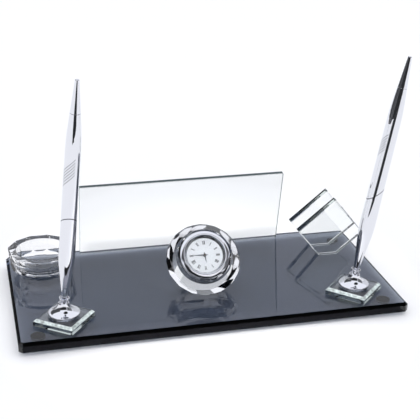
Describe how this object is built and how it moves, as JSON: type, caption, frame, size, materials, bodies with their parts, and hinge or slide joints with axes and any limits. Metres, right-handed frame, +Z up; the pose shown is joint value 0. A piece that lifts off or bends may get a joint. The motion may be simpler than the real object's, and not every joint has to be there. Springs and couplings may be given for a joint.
{
  "type": "desk pen stand with nameplate",
  "caption": "Smoked glass desk stand with swivelling chromed pens, a clear blank nameplate, a cut crystal clock, a glass card holder and a cut crystal dish.",
  "frame": {"origin": "on the desk, under the middle of the glass base", "axes": "+X to the right along the long side, +Y to the back, +Z up"},
  "size_m": [0.28, 0.14, 0.1866],
  "materials": {
    "smoked_glass": "polished",
    "clear_glass": "polished",
    "crystal": "cut and polished",
    "lens_glass": "polished",
    "clear_rubber": "clear soft",
    "clear_gasket": "clear soft",
    "polished_chrome": "mirror polished",
    "stainless_steel": "satin",
    "steel_tube": "drawn",
    "bright_aluminium": "bright turned",
    "brass": "turned",
    "nylon": "moulded",
    "black_plastic": "moulded",
    "black_hands": "satin black",
    "white_dial": "satin white"
  },
  "bodies": {
    "stand": {"base_slab": "smoked_glass", "bumper_feet": "clear_rubber", "nameplate": "clear_glass", "card_plate_front": "clear_glass", "card_plate_rear": "clear_glass", "crystal_dish": "crystal", "clock_crystal": "crystal", "left_pen_pad": "clear_glass", "left_flange": "polished_chrome", "left_retainer_plate": "stainless_steel", "left_spring_washer": "stainless_steel", "right_pen_pad": "clear_glass", "right_flange": "polished_chrome", "right_retainer_plate": "stainless_steel", "right_spring_washer": "stainless_steel"},
    "clock_insert": {"clock_bezel": "polished_chrome", "clock_lens": "lens_glass", "clock_dial_ring": "bright_aluminium", "clock_dial": "white_dial", "clock_case": "polished_chrome", "clock_gasket": "clear_gasket", "clock_movement": "black_plastic", "clock_battery": "stainless_steel", "clock_back_cover": "stainless_steel"},
    "minute_works": {"minute_hand": "black_hands", "minute_arbor": "brass"},
    "hour_works": {"hour_hand": "black_hands", "hour_pipe": "brass"},
    "knob": {"setting_knob": "black_plastic"},
    "left_swivel": {"left_ball_seat": "nylon"},
    "left_socket": {"left_pen_socket": "polished_chrome"},
    "left_pen": {"left_lower_barrel": "polished_chrome", "left_refill_tip": "brass", "left_refill_tube": "steel_tube"},
    "left_pen_top": {"left_upper_barrel": "polished_chrome", "left_coupling_sleeve": "brass", "left_tail_cone": "polished_chrome"},
    "right_swivel": {"right_ball_seat": "nylon"},
    "right_socket": {"right_pen_socket": "polished_chrome"},
    "right_pen": {"right_lower_barrel": "polished_chrome", "right_refill_tip": "brass", "right_refill_tube": "steel_tube"},
    "right_pen_top": {"right_upper_barrel": "polished_chrome", "right_coupling_sleeve": "brass", "right_tail_cone": "polished_chrome"}
  },
  "joints": [
    {"name": "clock_slide", "type": "slide", "parent": "stand", "child": "clock_insert", "axis": [-0.0627, -0.7166, 0.6947], "range_m": [0, 0.02]},
    {"name": "minute_turn", "type": "hinge", "parent": "clock_insert", "child": "minute_works", "pos_m": [-0.00063, -0.01824, 0.03837], "axis": [0.0627, 0.7166, -0.6947], "continuous": true},
    {"name": "hour_turn", "type": "hinge", "parent": "clock_insert", "child": "hour_works", "pos_m": [-0.00063, -0.01824, 0.03837], "axis": [0.0627, 0.7166, -0.6947], "continuous": true},
    {"name": "knob_turn", "type": "hinge", "parent": "clock_insert", "child": "knob", "pos_m": [-0.00672, -0.01243, 0.0333], "axis": [0.0627, 0.7166, -0.6947], "continuous": true},
    {"name": "left_swivel_turn", "type": "hinge", "parent": "stand", "child": "left_swivel", "pos_m": [-0.1066, -0.0438, 0.0221], "axis": [0, 0, 1], "continuous": true},
    {"name": "left_socket_tilt", "type": "hinge", "parent": "left_swivel", "child": "left_socket", "pos_m": [-0.1066, -0.0438, 0.0221], "axis": [0.848, 0.5299, 0], "range_deg": [-32, 16]},
    {"name": "left_pen_lift", "type": "slide", "parent": "left_socket", "child": "left_pen", "axis": [0.0738, -0.118, 0.9903], "range_m": [0, 0.06]},
    {"name": "left_pen_pull", "type": "slide", "parent": "left_pen", "child": "left_pen_top", "axis": [0.0738, -0.118, 0.9903], "range_m": [0, 0.016]},
    {"name": "right_swivel_turn", "type": "hinge", "parent": "stand", "child": "right_swivel", "pos_m": [0.1066, -0.0438, 0.0221], "axis": [0, 0, 1], "continuous": true},
    {"name": "right_socket_tilt", "type": "hinge", "parent": "right_swivel", "child": "right_socket", "pos_m": [0.1066, -0.0438, 0.0221], "axis": [-0.0698, 0.9976, 0], "range_deg": [-34, 14]},
    {"name": "right_pen_lift", "type": "slide", "parent": "right_socket", "child": "right_pen", "axis": [0.1732, 0.0121, 0.9848], "range_m": [0, 0.06]},
    {"name": "right_pen_pull", "type": "slide", "parent": "right_pen", "child": "right_pen_top", "axis": [0.1732, 0.0121, 0.9848], "range_m": [0, 0.016]}
  ],
  "couplings": [
    {"joint": "hour_turn", "follows": "minute_turn", "ratio": 0.083333},
    {"joint": "knob_turn", "follows": "minute_turn", "ratio": 1}
  ]
}
